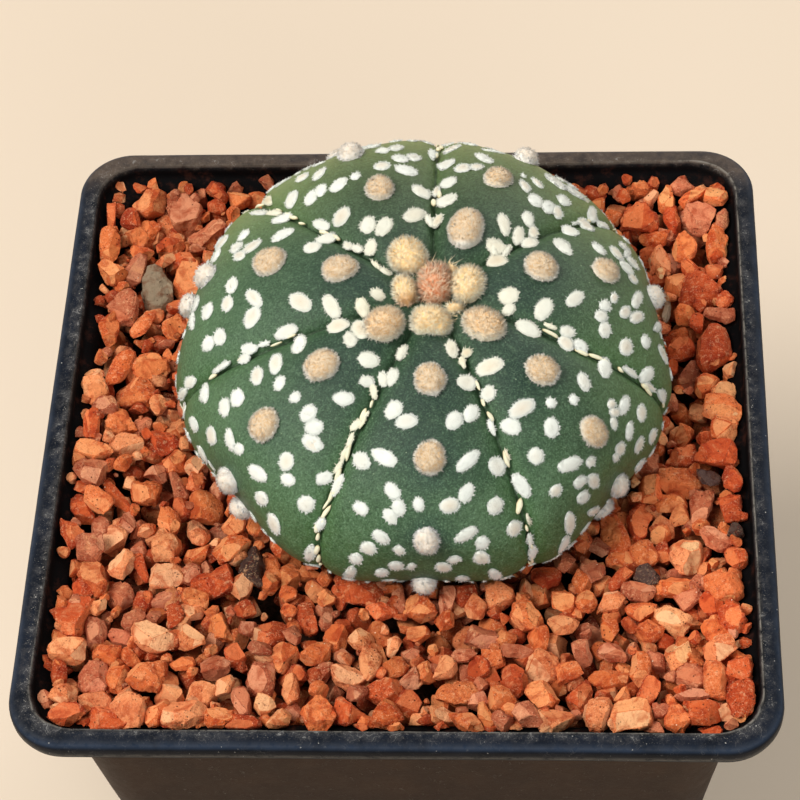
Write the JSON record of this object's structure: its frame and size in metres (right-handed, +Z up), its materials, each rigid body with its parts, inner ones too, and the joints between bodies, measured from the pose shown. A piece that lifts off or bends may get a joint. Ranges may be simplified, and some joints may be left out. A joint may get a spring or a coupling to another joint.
{
  "type": "potted star cactus",
  "caption": "Low ribbed star cactus with felt areoles and white flecks, on red baked-clay chips in a square tapered black plastic nursery pot.",
  "frame": {"origin": "middle of the pot's underside, on the surface it stands on", "axes": "+Z up; -Y faces the side of the pot nearest the viewer in the reference view, +X to that viewer's right"},
  "size_m": [0.1, 0.1, 0.112],
  "materials": {
    "pot_plastic": "black moulded plastic, satin shoulder, dusty and lightly scratched on top",
    "dark_mix": "dark damp growing mix, hidden under the chips",
    "clay_chips": "crushed baked clay, matt and porous",
    "chip_clay": "larger crushed baked-clay chips, matt, broken faces",
    "cactus_skin": "dull deep-green succulent skin with felt cushions and white woolly flecks"
  },
  "bodies": {
    "root": {"pot": "pot_plastic", "potting_mix": "dark_mix", "gravel_bed": "clay_chips", "cactus": "cactus_skin", "chip_01": "chip_clay", "chip_02": "chip_clay", "chip_03": "chip_clay", "chip_04": "chip_clay", "chip_05": "chip_clay", "chip_06": "chip_clay", "chip_07": "chip_clay", "chip_08": "chip_clay", "chip_09": "chip_clay", "chip_10": "chip_clay", "chip_11": "chip_clay", "chip_12": "chip_clay", "chip_13": "chip_clay", "chip_14": "chip_clay", "chip_15": "chip_clay", "chip_16": "chip_clay", "chip_17": "chip_clay", "chip_18": "chip_clay", "chip_19": "chip_clay", "chip_20": "chip_clay", "chip_21": "chip_clay", "chip_22": "chip_clay", "chip_23": "chip_clay", "chip_24": "chip_clay", "chip_25": "chip_clay", "chip_26": "chip_clay", "chip_27": "chip_clay", "chip_28": "chip_clay"}
  },
  "joints": []
}
